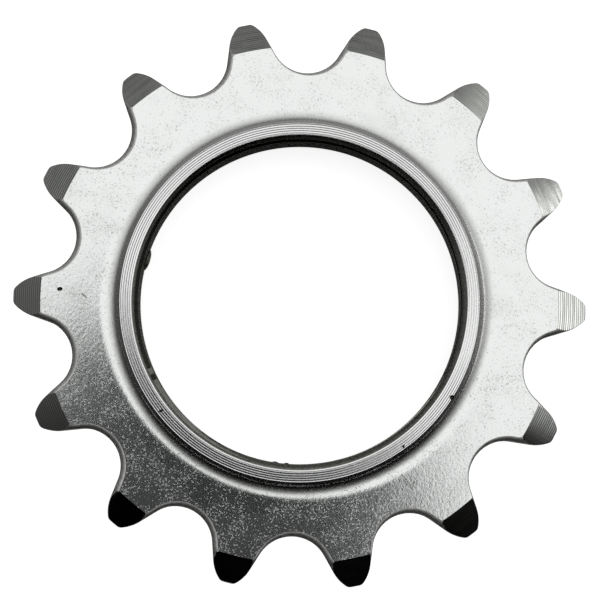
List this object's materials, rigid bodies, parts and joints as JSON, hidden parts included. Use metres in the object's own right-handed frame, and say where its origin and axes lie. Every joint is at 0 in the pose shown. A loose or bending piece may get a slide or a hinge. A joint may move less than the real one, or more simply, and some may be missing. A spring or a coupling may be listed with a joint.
{
  "type": "fixed gear cog",
  "caption": "Toothed steel ring with chamfered chain teeth, a raised turned boss and a finely threaded bore that screws onto a track hub.",
  "frame": {"origin": "on the bore's axis, in the plane of the lockring land that the cog lies on", "axes": "+Z along the bore out of the hub boss; the cog's front face looks up"},
  "size_m": [0.0608, 0.06, 0.0066],
  "materials": {
    "plated_steel": "tumbled and plated steel, satin, with turned chamfers and a turned boss face"
  },
  "bodies": {
    "root": {"cog": "plated_steel"}
  },
  "joints": []
}
